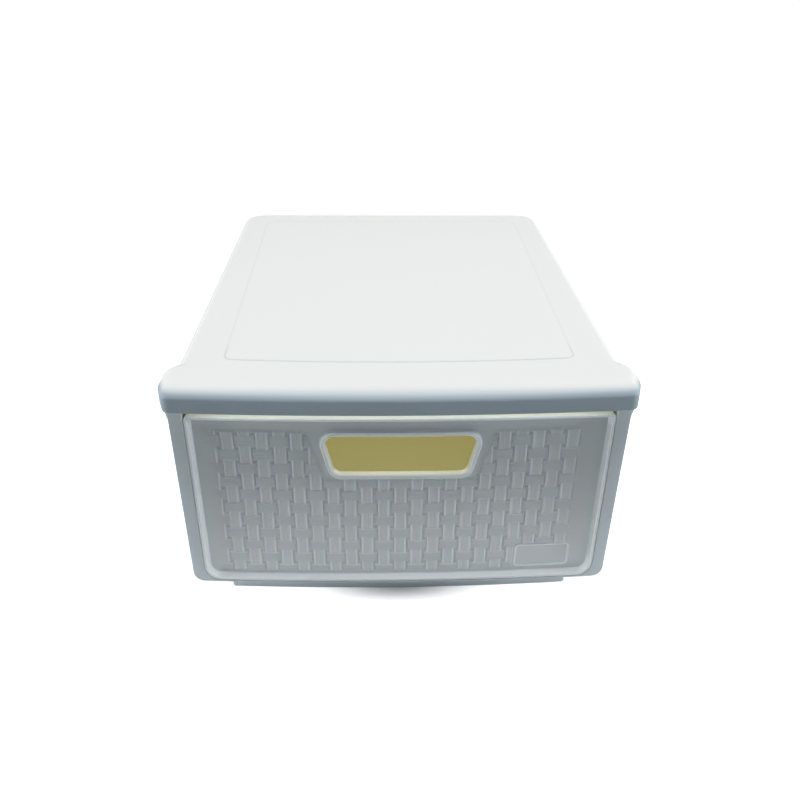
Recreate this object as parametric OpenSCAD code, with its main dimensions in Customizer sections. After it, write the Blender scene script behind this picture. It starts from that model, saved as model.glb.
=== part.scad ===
// Stackable drawer box, moulded in plastic.
// A tub open at its top and front, a cover with a bowed lip that snaps onto
// the tub, and one drawer that slides out to the front.
// Millimetres. +Z is up, the drawer opens towards -Y, and the origin is in
// the middle of the base.

/* [Box] */
// Width across the cover
box_w = 240; // [210:1:280]
// Depth from the middle of the lip to the back
box_d = 315; // [270:1:380]
// Height from the foot of the base ring to the raised panel on the cover
box_h = 135; // [120:1:180]
// Radius of the two back corners, seen from above
back_r = 16; // [10:1:24]
// Radius of the long bow of the drawer's face and of the frame round it
face_bow_r = 1800; // [1200:50:2600]

/* [Cover] */
// Wall of the cover's skirt and lip
skirt_t = 2; // [1.6:0.1:2.6]
// Thickness of the cover's plate
cover_t = 2.2; // [1.8:0.1:2.8]
// Height of the skirt, and of the lip that it becomes at the front
lip_h = 12.9; // [10.5:0.1:16]
// Width of the lip's face, from one front corner to the other
lip_w = 244.4; // [240:0.2:249]
// Width across the two ears, the widest place of the box
ear_w = 253; // [251:0.5:258]
// Radius of each ear, seen from above
ear_r = 12; // [7:0.5:14]
// Distance from the middle of the lip back to the ears' full width
ear_swell = 17; // [12:0.5:22]
// Distance from the middle of the lip back to the end of the ears
ear_reach = 37; // [34:0.5:44]
// Radius of the lip's two front corners, seen from above
lip_r = 5; // [3:0.5:8]
// Radius of the long bow of the lip
lip_bow_r = 1650; // [1200:50:2600]
// How far the lip stands in front of the drawer's face, at the middle
lip_reach = 7.3; // [6:0.1:10]
// Rounding of the cover's upper edge
edge_r = 5.5; // [3.5:0.5:7]
// Gap all round between the cover and the tub inside it
cover_fit = 0.3; // [0.2:0.05:0.5]
// Depth of the seats under the cover's plate that rest on the tub's upper edge
seat_h = 3.1; // [2.6:0.1:4]

/* [Raised panel] */
// How far the panel stands above the rest of the cover
panel_rise = 0.6; // [0.4:0.1:1.2]
// Width of the panel at its front corners
panel_front_w = 191; // [170:1:196]
// Width of the panel at its back corners
panel_back_w = 200; // [175:1:206]
// Distance from the middle of the lip to the panel's front edge
panel_front_gap = 35.4; // [32:0.2:44]
// Distance from the panel's straight back edge to the back of the box
panel_back_gap = 23.5; // [20:0.5:30]
// Radius of the panel's corners
panel_r = 8; // [4:0.5:12]
// Radius of the bow of the panel's front edge
panel_bow_r = 1150; // [900:50:2000]

/* [Tub] */
// Wall of the tub
tub_wall = 2; // [1.6:0.1:2.6]
// Thickness of the tub's floor
floor_t = 1.5; // [1.2:0.1:2.4]
// How far each side of the tub leans in from its upper edge to its floor
side_lean = 2; // [1:0.1:3]
// Radius between the tub's sides and its floor
tub_corner_r = 6; // [4:0.5:9]
// Width of the front frame across its foot
frame_foot_w = 240.4; // [238:0.2:242]
// Width of the front frame across its head
frame_head_w = 244.6; // [243:0.2:245.2]
// Radius of the frame's two lower corners
frame_r = 7; // [4:0.5:9]
// How far the frame's side flanges reach back
frame_depth = 14; // [8:0.5:18]
// Thickness of the frame's face and flanges
frame_t = 2; // [1.6:0.1:2.4]
// How far the frame's two shoulders stand out under the ears
shoulder_w = 3; // [1:0.1:4]
// Height of each shoulder
shoulder_h = 7.6; // [2:0.1:10]
// How far each shoulder lies behind the frame's face
shoulder_setback = 1; // [0.5:0.1:3]

/* [Base ring] */
// Height of the ring that the box stands on
base_h = 3.4; // [2.6:0.1:5]
// Thickness of the ring's wall
ring_t = 1.4; // [1.2:0.1:2]
// Gap between the ring and the raised panel of the box that it is stacked on
stack_fit = 0.5; // [0.3:0.1:1]
// How far the ring's front lies behind the drawer's face, at the middle
ring_setback = 0.5; // [0.3:0.1:3]

/* [Drawer] */
// Gap between the drawer's rim and the front frame
rim_gap = 0.5; // [0.4:0.1:1]
// Width of the drawer's rim at its foot
rim_foot_w = 226; // [223:0.5:228]
// Width of the drawer's rim at its head
rim_head_w = 228; // [225:0.5:230]
// Distance from the lip's foot down to the top of the drawer's rim
rim_drop = 6.1; // [2:0.1:20]
// Thickness of the rim
rim_t = 2; // [1.6:0.1:2.6]
// Radius of the rim's two lower corners
rim_foot_r = 9; // [6:0.5:11]
// Radius of the rim's two upper corners
rim_head_r = 3; // [2.4:0.2:5]
// Depth of the recess inside the rim
recess_depth = 3.8; // [3:0.1:5]
// Thickness of the woven panel at the bottom of the recess
front_t = 2; // [1.6:0.1:2.6]
// Running gap between the drawer's runners and the tub's floor
run_gap = 0.3; // [0.2:0.05:0.5]
// Wall of the drawer's tray
tray_wall = 1.8; // [1.4:0.1:2.4]
// Thickness of the tray's floor
tray_floor_t = 1.8; // [1.4:0.1:2.4]
// How far the tray's sides stand in from the rim
tray_inset = 1.6; // [1.2:0.1:2.6]
// How far the lip along the tray's upper edge stands out
tray_lip = 0.8; // [0.5:0.1:1]
// Height of the lip along the tray's upper edge
tray_lip_h = 2.4; // [1.6:0.2:4]
// Gap between the closed drawer and the tub's back, which stops it
rear_gap = 0.4; // [0.3:0.1:2]
// Height of the runners under the tray
runner_h = 3; // [2.8:0.1:4]
// Width of each runner
runner_w = 4; // [3:0.5:8]
// Distance between the middles of the two runners
runner_span = 190; // [150:2:194]

/* [Stops] */
// How far the drawer slides out before it meets its stops
travel = 230; // [150:1:235]
// Distance between the middles of the two stops
stop_span = 120; // [80:2:140]
// Width of each stop
stop_w = 30; // [15:1:40]
// Thickness of each stop and of each heel that meets it
stop_t = 3; // [2:0.5:5]
// Distance from the drawer's face back to the stops
stop_setback = 17; // [14:0.5:20]
// Gap under and over the stops and heels
stop_gap = 0.7; // [0.5:0.1:1]

/* [Hand hole] */
// Width of the hand hole along its top
hole_top_w = 84; // [70:1:92]
// Width of the hand hole along its bottom
hole_foot_w = 72; // [58:1:80]
// Height of the hand hole
hole_h = 24; // [20:0.5:28]
// Distance from the top of the rim to the top of the hand hole
hole_drop = 12.2; // [9:0.2:16]
// Radius of the hand hole's corners
hole_r = 5; // [3:0.5:8]
// Wall of the collar round the hand hole
collar_t = 2.8; // [2:0.1:3.6]
// How far the collar stands out of the woven panel
collar_rise = 2.5; // [1.5:0.1:2.9]

/* [Label field] */
// Width of the bare label field at the lower right
label_w = 33; // [24:1:36]
// Height of the label field
label_h = 16.5; // [10:0.5:18]
// Distance from the middle of the drawer to the middle of the label field
label_x = 83; // [70:1:85]
// Distance from the foot of the rim to the foot of the label field
label_z = 6; // [4:0.5:14]
// Width of the bead round the label field
bead_w = 1; // [0.8:0.1:1.6]
// How far the bead stands out
bead_rise = 0.5; // [0.3:0.1:0.8]

/* [Snaps] */
// Number of snap beads along each side
snap_count = 3; // [2:1:5]
// Length of each snap bead
snap_l = 18; // [10:1:26]
// How far each snap bead stands out of the tub
snap_rise = 0.8; // [0.5:0.1:1]
// Height of each snap bead
snap_h = 1.8; // [1.4:0.1:2.2]
// Number of seats along each side, under the cover
seat_count = 4; // [2:1:6]
// Length of each seat
seat_l = 10; // [6:1:16]

/* [Hidden] */
white = [0.93, 0.94, 0.92];
frosted = [0.84, 0.86, 0.86];
arc_steps = 8;      // straight strips in each rounded corner
bow_fn = 720;       // strips in a full turn of a long bow
slack = 1;          // how far a cutter reaches past what it cuts
bury = 0.5;         // how far a rib, a stop or a runner reaches into its wall

// Heights
floor_z = base_h + floor_t;
cover_z = box_h - panel_rise;
under_z = cover_z - cover_t;
skirt_z = cover_z - lip_h;
tub_top = under_z - seat_h;
rim_z = floor_z + run_gap;
rim_top = skirt_z - rim_drop;
rim_h = rim_top - rim_z;
tray_z = rim_z + runner_h;
tray_floor_z = tray_z + tray_floor_t;

// Places from front to back
lip_y = -box_d / 2;
back_y = box_d / 2;
face_y = lip_y + lip_reach;
front_depth = recess_depth + front_t;
tub_back = back_y - skirt_t - cover_fit;
tub_back_r = back_r - skirt_t - cover_fit;
tray_back = tub_back - tub_wall - rear_gap - tray_lip;
tray_back_r = tub_back_r - tub_wall;
panel_front_y = lip_y + panel_front_gap;
panel_back_y = back_y - panel_back_gap;
ring_front_y = face_y + ring_setback;
stop_y = face_y + stop_setback;
heel_y = stop_y + stop_t + travel + run_gap;

// Half widths, and how they change with height
tub_top_half = box_w / 2 - skirt_t - cover_fit;
tub_foot_half = tub_top_half - side_lean;
function tub_half(z) = tub_foot_half + side_lean * (z - base_h) / (tub_top - base_h);
function rim_half(z) = (rim_foot_w + (rim_head_w - rim_foot_w) * (z - rim_z) / rim_h) / 2;

// How far a bow of radius r has curved back at the distance x from the middle
function bow_back(r, x) = r - sqrt(r * r - x * x);

// The corner p between the points a and b, rounded to the radius r, or left
// sharp where r is 0
function unit(v) = v / norm(v);
function corner(a, p, b, r) =
    r <= 0 ? [p] :
    let (
        u = unit(a - p),
        v = unit(b - p),
        half = acos(u * v) / 2,
        middle = p + unit(u + v) * r / sin(half),
        start = p + u * r / tan(half) - middle,
        first = atan2(start.y, start.x)
    )
    [for (i = [0:arc_steps])
        let (t = first + (180 - 2 * half) * i / arc_steps)
        middle + r * [cos(t), sin(t)]];

// A convex outline, anticlockwise, with a radius for each of its corners
function rounded(points, radii) =
    let (n = len(points))
    [for (i = [0:n - 1])
        each corner(points[(i + n - 1) % n], points[i], points[(i + 1) % n], radii[i])];

// An upright outline, wider at its head than at its foot
function upright(foot_half, head_half, z0, z1, foot_r, head_r) =
    rounded([[-foot_half, z0], [foot_half, z0], [head_half, z1], [-head_half, z1]],
            [foot_r, foot_r, head_r, head_r]);

// A flat outline with its own widths at the front and back
function flat(front_half, back_half, y0, y1, front_r, back_r) =
    rounded([[-front_half, y0], [front_half, y0], [back_half, y1], [-back_half, y1]],
            [front_r, front_r, back_r, back_r]);

// The right half of an upright outline, its upper edge rounded to r
function rounded_step(reach, z0, z1, r) =
    rounded([[0, z0], [reach, z0], [reach, z1], [0, z1]], [0, 0, r, 0]);

// Carries an upright outline along Y
module along_y(y0, y1) {
    translate([0, y1, 0]) rotate([90, 0, 0]) linear_extrude(y1 - y0) children();
}

// Carries an outline drawn in Y and Z along X, to both sides of the middle
module along_x(half) {
    translate([-half, 0, 0]) rotate([90, 0, 90]) linear_extrude(2 * half) children();
}

// Everything behind a long bow that comes furthest forward at y
module behind_bow(y, r) {
    translate([0, y + r, -slack]) cylinder(r = r, h = box_h + 2 * slack, $fn = bow_fn);
}

// The same from z0 to z1, with its upper edge rounded to the radius r
module rounded_bow(y, bow_r, z0, z1, r) {
    translate([0, y + bow_r, 0])
        rotate_extrude($fn = bow_fn)
            polygon(rounded_step(bow_r, z0, z1, r));
}

// A flat plate with a bowed front edge
module bowed_plate(front_half, back_half, y0, y1, r, bow_r, z0, h) {
    intersection() {
        translate([0, 0, z0])
            linear_extrude(h) polygon(flat(front_half, back_half, y0, y1, r, r));
        behind_bow(y0, bow_r);
    }
}

// Places its children on both sides, mirrored
module both_sides() {
    children();
    mirror([1, 0, 0]) children();
}

// ---------------------------------------------------------------- tub

// The tub's outer shape, drawn in by t all round and with its floor at z
module tub_block(t, z, top) {
    back = tub_back - t;
    intersection() {
        along_y(lip_y, back_y)
            polygon(upright(tub_half(z) - t, tub_half(top) - t, z, top,
                            tub_corner_r - t, 0));
        along_x(box_w)
            polygon(rounded([[lip_y, z], [back, z], [back, top], [lip_y, top]],
                            [0, tub_corner_r - t, 0, 0]));
        translate([0, 0, z - slack])
            linear_extrude(top - z + 2 * slack)
                polygon(flat(tub_top_half - t, tub_top_half - t, lip_y, back,
                             0, tub_back_r - t));
    }
}

function frame_outline(t) =
    upright(frame_foot_w / 2 - t, frame_head_w / 2 - t, base_h + t, tub_top + t,
            frame_r - t, 0);

function frame_half(z) =
    (frame_foot_w + (frame_head_w - frame_foot_w) * (z - base_h) / (tub_top - base_h)) / 2;

// The way through the frame that the drawer's rim fills
function frame_opening() =
    upright(rim_half(rim_z) + rim_gap, rim_half(tub_top + slack) + rim_gap,
            floor_z, tub_top + slack, rim_foot_r + rim_gap, 0);

// Flat face and side flanges round the front of the tub
module front_frame() {
    difference() {
        intersection() {
            along_y(lip_y, face_y + frame_depth) polygon(frame_outline(0));
            behind_bow(face_y, face_bow_r);
        }
        intersection() {
            along_y(lip_y, back_y) polygon(frame_outline(frame_t));
            behind_bow(face_y + frame_t, face_bow_r);
        }
    }
}

// Half the casing's width behind its face: the frame's or the tub's,
// whichever stands out further
function side_half(z) = max(frame_half(z), tub_half(z));

// Wedges on both sides of the casing, just under the foot of the ears
module shoulders() {
    head = skirt_z - cover_fit;
    foot = head - shoulder_h;
    root = side_half(foot) - bury;
    intersection() {
        both_sides()
            along_y(lip_y, face_y + frame_depth)
                polygon([[root, foot], [side_half(foot), foot],
                         [side_half(head) + shoulder_w, head], [root, head]]);
        behind_bow(face_y + shoulder_setback, face_bow_r);
    }
}

// Low walls on the floor that hold the open drawer by its heels
module stops() {
    both_sides()
        translate([(stop_span - stop_w) / 2, stop_y, floor_z - bury])
            cube([stop_w, stop_t, runner_h + run_gap - stop_gap + bury]);
}

// The closed ring under the floor, and the rib that lies in front of the
// raised panel of the box below
module base_ring() {
    grow = stack_fit + ring_t;
    widen = (panel_back_w - panel_front_w) / (panel_back_y - panel_front_y) / 2;
    front_half = panel_front_w / 2 - widen * (panel_front_y - ring_front_y);
    back_half = panel_back_w / 2 + widen * stack_fit;
    difference() {
        bowed_plate(front_half + grow, back_half + grow, ring_front_y, panel_back_y + grow,
                    ring_t, lip_bow_r, 0, base_h + bury);
        translate([0, 0, -slack])
            bowed_plate(front_half + stack_fit, back_half + stack_fit,
                        ring_front_y + ring_t, panel_back_y + stack_fit,
                        0, lip_bow_r, 0, base_h + slack);
    }
    difference() {
        bowed_plate(front_half + stack_fit + bury, front_half + stack_fit + bury,
                    panel_front_y - stack_fit - ring_t, panel_front_y + ring_t * 4,
                    0, panel_bow_r, 0, base_h + bury);
        behind_bow(panel_front_y - stack_fit, panel_bow_r);
    }
}

// Beads along the tub's sides that snap into pockets in the cover's skirt
function snap_z() = (skirt_z + tub_top) / 2;
function snap_y(i) = lip_y + ear_reach
    + (tub_back - back_r - lip_y - ear_reach) * (i + 0.5) / snap_count;
module snap_beads(extra) {
    for (i = [0:snap_count - 1])
        both_sides()
            translate([tub_half(snap_z()) - tub_wall / 2,
                       snap_y(i) - snap_l / 2 - extra,
                       snap_z() - snap_h / 2 - extra])
                cube([tub_wall / 2 + snap_rise + extra, snap_l + 2 * extra, snap_h + 2 * extra]);
}

module casing_body() {
    color(white) {
        difference() {
            union() {
                intersection() {
                    tub_block(0, base_h, tub_top);
                    behind_bow(face_y, face_bow_r);
                }
                front_frame();
            }
            intersection() {
                tub_block(tub_wall, floor_z, tub_top + slack);
                behind_bow(face_y + frame_t, face_bow_r);
            }
            along_y(lip_y, face_y + frame_depth + slack) polygon(frame_opening());
        }
        shoulders();
        stops();
        base_ring();
        snap_beads(0);
    }
}

// ---------------------------------------------------------------- cover

// Plan of the lip, drawn in by t. Its round front corners run out along the
// tangents of the bow that ends it, which meet in front of the bow. Behind
// them the ears swell to their full width.
function lip_plan(t) =
    let (
        front = lip_w / 2 - t,
        half = ear_w / 2 - t,
        widest_y = lip_y + ear_swell,
        back = lip_y + ear_reach - t,
        touch = lip_w / 2 - lip_r,
        slope = touch / sqrt(lip_bow_r * lip_bow_r - touch * touch),
        tip_y = lip_y + bow_back(lip_bow_r, touch) - slope * touch
            + t * sqrt(1 + slope * slope),
        corner_y = tip_y + slope * front
    )
    rounded([[0, tip_y], [front, corner_y], [half, widest_y], [half, back],
             [-half, back], [-half, widest_y], [-front, corner_y]],
            [0, lip_r - t, ear_r - t, ear_r - t, ear_r - t, ear_r - t, lip_r - t]);

// The plate behind the lip, drawn in by t, its upper edge rounded to r
module plate_block(t, z0, z1, r) {
    half = box_w / 2 - t;
    corner_r = back_r - t;
    corner_y = back_y - back_r;
    along_y(lip_y + ear_reach / 2, corner_y) polygon(upright(half, half, z0, z1, 0, r));
    along_x(half - corner_r)
        translate([corner_y, 0])
            polygon(rounded_step(corner_r, z0, z1, r));
    both_sides()
        translate([half - corner_r, corner_y, 0])
            rotate_extrude(angle = 90, $fn = 96)
                polygon(rounded_step(corner_r, z0, z1, r));
}

// The lip with its ears, drawn in by t, its upper edge rounded to r
module lip_block(t, z0, z1, r) {
    half = ear_w / 2 - t;
    intersection() {
        along_y(lip_y, lip_y + ear_reach) polygon(upright(half, half, z0, z1, 0, r));
        rounded_bow(lip_y + t, lip_bow_r - t, z0, z1, r);
        translate([0, 0, z0 - slack])
            linear_extrude(z1 - z0 + 2 * slack) polygon(lip_plan(t));
    }
}

// Rib inside the tub's upper edge that keeps the cover in its place
module locating_rib() {
    rib_t = 1.6;
    rib_top = under_z + bury;
    inner_back = tub_back - tub_wall - cover_fit;
    inner_r = tub_back_r - tub_wall - cover_fit;
    inner_half = tub_half(skirt_z) - tub_wall - cover_fit;
    front = lip_y + ear_reach;
    difference() {
        translate([0, 0, skirt_z])
            linear_extrude(rib_top - skirt_z)
                polygon(flat(inner_half, inner_half, front, inner_back, 0, inner_r));
        translate([0, 0, skirt_z - slack])
            linear_extrude(rib_top - skirt_z + 2 * slack)
                polygon(flat(inner_half - rib_t, inner_half - rib_t, front - slack,
                             inner_back - rib_t, 0, inner_r - rib_t));
    }
}

// Seats that carry the cover on the tub's upper edge
module seats() {
    seat_in = tub_top_half - tub_wall - cover_fit;
    for (i = [0:seat_count - 1]) {
        y = lip_y + ear_reach + (tub_back - back_r - lip_y - ear_reach) * i / (seat_count - 1);
        both_sides()
            translate([seat_in - slack, y - seat_l / 2, tub_top])
                cube([tub_top_half - seat_in + slack, seat_l, seat_h + bury]);
    }
    both_sides()
        translate([box_w / 6, tub_back - tub_wall - cover_fit - slack, tub_top])
            cube([seat_l, tub_wall + cover_fit + slack, seat_h + bury]);
}

module top_cover() {
    inner_r = edge_r - skirt_t - 0.6;
    color(white)
        difference() {
            union() {
                difference() {
                    union() {
                        plate_block(0, skirt_z, cover_z, edge_r);
                        lip_block(0, skirt_z, cover_z, edge_r);
                    }
                    plate_block(skirt_t, skirt_z - slack, under_z, inner_r);
                    lip_block(skirt_t, skirt_z - slack, under_z, inner_r);
                }
                bowed_plate(panel_front_w / 2, panel_back_w / 2, panel_front_y, panel_back_y,
                            panel_r, panel_bow_r, under_z + slack, panel_rise + cover_t - slack);
                locating_rib();
                seats();
            }
            snap_beads(cover_fit);
        }
}

// ---------------------------------------------------------------- drawer

// The tray's outline seen from above, grown by g at its sides and back
function tray_plan(g) =
    let (half = rim_head_w / 2 - tray_inset + g)
    flat(half, half, face_y, tray_back + g, 0, tray_back_r + g);

// The space inside the tray's walls when t is the wall, or the tray itself
// when t is 0
module tray_block(t, z, top) {
    back = tray_back - t;
    intersection() {
        along_y(face_y, tray_back)
            polygon(upright(rim_half(z) - tray_inset - t, rim_half(top) - tray_inset - t,
                            z, top, rim_foot_r - t, 0));
        along_x(box_w)
            polygon(rounded([[face_y, z], [back, z], [back, top], [face_y, top]],
                            [0, rim_foot_r - t, 0, 0]));
        translate([0, 0, z - slack])
            linear_extrude(top - z + 2 * slack)
                polygon(tray_plan(-t));
        behind_bow(face_y + front_depth - (t == 0 ? front_t / 2 : 0), face_bow_r);
    }
}

function rim_outline(t) =
    upright(rim_half(rim_z) - t, rim_half(rim_top) - t, rim_z + t, rim_top - t,
            rim_foot_r - t, rim_head_r - t);

function hole_outline(g) =
    let (top = rim_top - hole_drop, lean = (hole_top_w - hole_foot_w) / 2 / hole_h)
    upright(hole_foot_w / 2 + g - lean * g, hole_top_w / 2 + g + lean * g,
            top - hole_h - g, top + g, hole_r + g, hole_r + g);

function label_outline(t) =
    let (z = rim_z + label_z)
    [for (p = upright(label_w / 2 - t, label_w / 2 - t, z + t, z + label_h - t,
                      3 - t, 3 - t)) p + [label_x, 0]];

// The part of an upright outline between two bows
module between_bows(y0, y1) {
    difference() {
        intersection() {
            along_y(lip_y, lip_y + 4 * (lip_reach + front_depth)) children();
            behind_bow(y0, face_bow_r);
        }
        behind_bow(y1, face_bow_r);
    }
}

// Rim, recessed panel, collar and label field, all bowed
module drawer_front() {
    panel_y = face_y + recess_depth;
    rear_y = face_y + front_depth;
    between_bows(face_y, rear_y)
        difference() {
            polygon(rim_outline(0));
            polygon(rim_outline(rim_t));
        }
    between_bows(panel_y, rear_y) polygon(rim_outline(rim_t / 2));
    between_bows(panel_y - collar_rise, rear_y) polygon(hole_outline(collar_t));
    between_bows(panel_y - bead_rise, rear_y)
        difference() {
            polygon(label_outline(0));
            polygon(label_outline(bead_w));
        }
}

// Lip that stiffens the tray's upper edge
module tray_lip_ring() {
    intersection() {
        translate([0, 0, rim_top - tray_lip_h])
            linear_extrude(tray_lip_h) polygon(tray_plan(tray_lip));
        behind_bow(face_y + front_depth - front_t / 2, face_bow_r);
    }
}

module runners() {
    y0 = face_y + front_depth + bow_back(face_bow_r, runner_span / 2) - front_t / 2;
    both_sides()
        translate([(runner_span - runner_w) / 2, y0, rim_z])
            cube([runner_w, tray_back - rim_foot_r - y0, runner_h + bury]);
}

// Heels under the tray that meet the stops when the drawer is fully open
module heels() {
    both_sides()
        translate([(stop_span - stop_w) / 2, heel_y, floor_z + stop_gap])
            cube([stop_w, stop_t, tray_z - floor_z - stop_gap + bury]);
}

module drawer() {
    color(frosted)
        difference() {
            union() {
                drawer_front();
                difference() {
                    union() {
                        tray_block(0, tray_z, rim_top);
                        tray_lip_ring();
                    }
                    tray_block(tray_wall, tray_floor_z, rim_top + slack);
                }
                runners();
                heels();
            }
            along_y(lip_y, face_y + 3 * front_depth) polygon(hole_outline(0));
        }
}

casing_body();
top_cover();
drawer();
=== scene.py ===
# %% [markdown]
# # A stackable drawer box
#
# The box is three plastic mouldings: a tub open at its top and front, a cover
# with a bowed lip, and a drawer with a woven front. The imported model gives
# their real sizes and places. Here each moulding gets its fine surface: rounded
# edges, the weave, the step of the stacking panel. Lengths are in millimetres
# until a mesh is made, and then MM turns them into Blender's metres.

import bmesh
import bpy
import numpy as np
from mathutils import Matrix, Vector


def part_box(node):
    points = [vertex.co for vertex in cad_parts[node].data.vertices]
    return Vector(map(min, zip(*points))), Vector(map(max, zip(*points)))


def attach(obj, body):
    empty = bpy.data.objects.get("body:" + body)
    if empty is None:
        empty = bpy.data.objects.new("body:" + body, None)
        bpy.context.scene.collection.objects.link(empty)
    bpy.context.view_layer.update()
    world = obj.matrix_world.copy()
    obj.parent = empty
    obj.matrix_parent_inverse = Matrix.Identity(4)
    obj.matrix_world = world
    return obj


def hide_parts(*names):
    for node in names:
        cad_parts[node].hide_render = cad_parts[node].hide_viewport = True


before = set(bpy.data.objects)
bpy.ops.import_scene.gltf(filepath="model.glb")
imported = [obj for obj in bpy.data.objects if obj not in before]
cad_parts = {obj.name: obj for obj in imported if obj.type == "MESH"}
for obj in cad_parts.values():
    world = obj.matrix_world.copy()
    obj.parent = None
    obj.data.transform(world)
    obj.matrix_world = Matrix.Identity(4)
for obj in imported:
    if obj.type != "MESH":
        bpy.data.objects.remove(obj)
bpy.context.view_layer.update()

MM = 0.001
cover_lo, cover_hi = (np.array(corner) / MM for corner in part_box("top_cover"))
drawer_lo, drawer_hi = (np.array(corner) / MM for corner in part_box("drawer"))
tub_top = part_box("casing_body")[1][2] / MM

# %% [markdown]
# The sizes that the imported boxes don't give are named here once. They are the
# real sizes of the mouldings' walls, gaps, bows and corners. The walls lean a
# little, as they must to leave a mould, so a half width depends on the height.

# %% Sizes of the mouldings
box_half = 120.0        # half the cover's width behind its ears
ear_half = cover_hi[0]  # half the width across the ears
lip_y = -157.5          # front of the lip, at the middle
back_y = 157.5
face_y = lip_y + 7.3    # front of the drawer's face, at the middle
corner_r = 16.0         # the cover's back corners
lip_bow_r, face_bow_r, panel_bow_r = 1650.0, 1800.0, 1150.0

panel_z = cover_hi[2]        # the raised panel, the top of the box
cover_z = panel_z - 0.6      # the border round it
under_z = cover_z - 2.2      # underside of the cover's plate
skirt_z = cover_lo[2]        # foot of the cover's skirt
base_h = 3.4                 # height of the base ring
floor_z = base_h + 1.5       # upper side of the tub's floor
rim_z, rim_top = drawer_lo[2], drawer_hi[2]
tray_z = rim_z + 3.0         # underside of the drawer's tray

tub_wall, tray_wall = 2.0, 1.8
tub_in = 2.3                 # from the cover's outside in to the tub's
tray_lip = 0.8               # how far the tray's top is folded outwards
tub_back = back_y - tub_in
tray_back = tub_back - tub_wall - 0.4 - tray_lip   # a gap of 0.4 between them


def leaning(foot_half, head_half, foot_z, head_z):
    """Returns the half width at a height: the straight line that is foot_half
    at foot_z and head_half at head_z."""
    def at(z):
        return foot_half + (head_half - foot_half) * (z - foot_z) / (head_z - foot_z)
    return at


tub_half = leaning(115.7, 117.7, base_h, tub_top)
rim_half = leaning(113.3, 114.3, rim_z, rim_top)
frame_half = leaning(120.8, 122.9, base_h, tub_top)


def bow(x, radius):
    """How far a bow has curved back at x: radius minus the circle's height there."""
    return radius - np.sqrt(radius**2 - x**2)


def bent(x, y, front, fade, radius):
    """y moved back by the bow at x: by all of it at the front, and by less and
    less until nothing is left at the fade's distance behind the front."""
    return y + bow(x, radius) * np.clip(1 - (y - front) / fade, 0, 1)


def bend(points, front, fade, radius):
    """Bends an outline in X and Y in that way."""
    x, y = points.T
    return np.column_stack([x, bent(x, y, front, fade, radius)])


def smooth(t):
    """The cubic 3t^2 - 2t^3, which goes from 0 to 1 with level ends."""
    t = np.clip(t, 0, 1)
    return t * t * (3 - 2 * t)


def hump(distance, width):
    """A round hump: e to the power of minus the square of distance / width."""
    return np.exp(-((distance / width) ** 2))


print("tub, mm wide at its floor and top:", 2 * tub_half(base_h), 2 * tub_half(tub_top))

# %% [markdown]
# ## Outlines
#
# Most of the box is one outline that shrinks or grows while it moves up or
# back. So the basic tool is a polygon with rounded corners that can be drawn
# in by any distance and always comes back with the same number of points:
# rings made from it can then be joined into a skin without any searching.

# %% A rounded polygon that can be drawn in
least_r = 0.15   # the smallest radius that a corner can shrink to


def outline(corners, radii, spacing=4.0, arc=8, closed=True, steps=None):
    """Returns a function of the inset. Each edge is shifted inwards by it, each
    corner is where its two edges cross, and an outer corner's radius shrinks
    by the inset while an inner corner's grows. An open path has plain ends."""
    corners = np.array(corners, float)
    radii = np.array(radii, float)
    ahead = np.roll(corners, -1, axis=0) - corners
    length = np.linalg.norm(ahead, axis=1)
    ahead /= length[:, None]
    before = np.roll(ahead, 1, axis=0)
    if not closed:
        ahead[-1], before[0] = ahead[-2], ahead[0]
    before_out = np.stack([before[:, 1], -before[:, 0]], axis=1)
    turn = np.arctan2(
        before[:, 0] * ahead[:, 1] - before[:, 1] * ahead[:, 0],
        (before * ahead).sum(axis=1),
    )
    side = np.sign(turn)
    angle0 = np.arctan2(before_out[:, 1], before_out[:, 0])
    if steps is None:
        steps = np.maximum(np.round(length / spacing).astype(int), 1)

    def at(inset):
        tips = corners - inset * (before_out + np.tan(turn / 2)[:, None] * before)
        r = np.maximum(radii - side * inset, least_r)
        start = tips - (r * np.tan(np.abs(turn) / 2))[:, None] * before
        middle = start - (side * r)[:, None] * before_out
        t = angle0[:, None] + turn[:, None] * np.linspace(0, 1, arc + 1)
        rays = np.stack([np.cos(t), np.sin(t)], axis=2)
        runs = list(middle[:, None] + (side * r)[:, None, None] * rays)
        if not closed:
            runs[0], runs[-1] = runs[0][:1], runs[-1][:1]
        pieces = []
        for k, run in enumerate(runs):
            pieces.append(run)
            if closed or k < len(runs) - 1:
                a, b = run[-1], runs[(k + 1) % len(runs)][0]
                pieces.append(a + np.linspace(0, 1, steps[k] + 1)[1:-1, None] * (b - a))
        return np.concatenate(pieces)

    return at


square = outline([(0, 0), (10, 0), (10, 10), (0, 10)], [3] * 4)
print("a 10 mm square drawn in by 2 mm spans", np.ptp(square(2), axis=0).round(3))


# %% Upright outlines and the runs of a section
def upright(foot_half, head_half, z0, z1, foot_r, head_r):
    """Outline in X and Z that is a little wider at its head than at its foot."""
    return outline(
        [(-foot_half, z0), (foot_half, z0), (head_half, z1), (-head_half, z1)],
        [foot_r, foot_r, head_r, head_r], spacing=3.0, arc=12,
    )


def fillet(a0, b0, a1, b1, steps=6, hollow=False):
    """A quarter of an ellipse from (a0, b0) to (a1, b1), as two arrays. It
    leaves along b and arrives along a, or the other way round if hollow."""
    t = np.linspace(0, np.pi / 2, steps + 1)
    if hollow:
        return a0 + (a1 - a0) * np.sin(t), b0 + (b1 - b0) * (1 - np.cos(t))
    return a0 + (a1 - a0) * (1 - np.cos(t)), b0 + (b1 - b0) * np.sin(t)


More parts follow.
